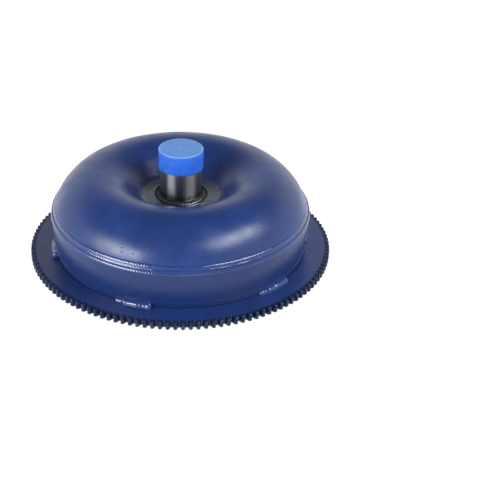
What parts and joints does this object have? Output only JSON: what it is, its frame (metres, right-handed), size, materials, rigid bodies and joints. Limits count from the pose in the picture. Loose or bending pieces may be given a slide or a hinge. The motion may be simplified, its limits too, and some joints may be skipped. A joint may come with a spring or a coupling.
{
  "type": "torque converter",
  "caption": "Torque converter: welded torus-shaped housing with a starter ring gear, mounting pads, a drive hub with a push-on cap, and a turbine and clutched stator inside.",
  "frame": {"origin": "on the axis of rotation, in the plane of the mounting pads' bolting faces", "axes": "+Z along the axis of rotation from the engine side to the transmission side; +X through the middle of a mounting pad"},
  "size_m": [0.3344, 0.3344, 0.1457],
  "materials": {
    "shell_paint": "satin navy enamel",
    "gear_paint": "satin navy enamel, thin on the teeth",
    "weld_paint": "satin navy enamel over a weld bead",
    "polished_steel": "ground and polished",
    "machined_steel": "turned",
    "hub_weld_steel": "turned weld metal",
    "plated_steel": "zinc plated",
    "bare_sheet": "pressed sheet",
    "spring_steel": "blued",
    "bronze": "bearing bronze",
    "cast_aluminium": "die cast",
    "cap_plastic": "moulded, slightly translucent"
  },
  "bodies": {
    "housing": {"front_cover": "shell_paint", "crank_pilot": "machined_steel", "pilot_weld": "shell_paint", "mounting_pads": "shell_paint", "pad_welds": "shell_paint", "drain_plug": "plated_steel", "balance_weight": "shell_paint", "ring_gear": "gear_paint", "ring_gear_welds": "shell_paint", "closure_weld": "weld_paint", "impeller_shell": "shell_paint", "impeller_blades": "bare_sheet", "impeller_core_ring": "bare_sheet", "impeller_hub": "polished_steel", "hub_weld": "hub_weld_steel", "front_thrust_washer": "bronze", "bearing_rear_race": "polished_steel"},
    "turbine": {"turbine_shell": "bare_sheet", "turbine_blades": "bare_sheet", "turbine_core_ring": "bare_sheet", "turbine_hub": "machined_steel", "turbine_rivets": "plated_steel"},
    "stator": {"stator_thrust_washer": "bronze", "stator_wheel": "cast_aluminium", "clutch_cam": "machined_steel", "clutch_rollers": "polished_steel", "clutch_springs": "spring_steel", "clutch_front_plate": "machined_steel", "clutch_rear_plate": "machined_steel", "front_snap_ring": "spring_steel", "rear_snap_ring": "spring_steel", "bearing_front_race": "polished_steel"},
    "inner_race": {"clutch_inner_race": "polished_steel"},
    "bearing": {"bearing_needles": "polished_steel", "bearing_cage": "bronze"},
    "cap": {"hub_cap": "cap_plastic"}
  },
  "joints": [
    {"name": "turbine_spin", "type": "hinge", "parent": "housing", "child": "turbine", "pos_m": [0, 0, 0.03], "axis": [0, 0, 1], "continuous": true},
    {"name": "stator_spin", "type": "hinge", "parent": "housing", "child": "stator", "pos_m": [0, 0, 0.058], "axis": [0, 0, 1], "continuous": true},
    {"name": "race_spin", "type": "hinge", "parent": "stator", "child": "inner_race", "pos_m": [0, 0, 0.058], "axis": [0, 0, 1], "continuous": true},
    {"name": "bearing_spin", "type": "hinge", "parent": "housing", "child": "bearing", "pos_m": [0, 0, 0.072], "axis": [0, 0, 1], "continuous": true},
    {"name": "cap_pull", "type": "slide", "parent": "housing", "child": "cap", "axis": [0, 0, 1], "range_m": [0, 0.08]}
  ],
  "couplings": [
    {"joint": "bearing_spin", "follows": "stator_spin", "ratio": 0.5}
  ]
}
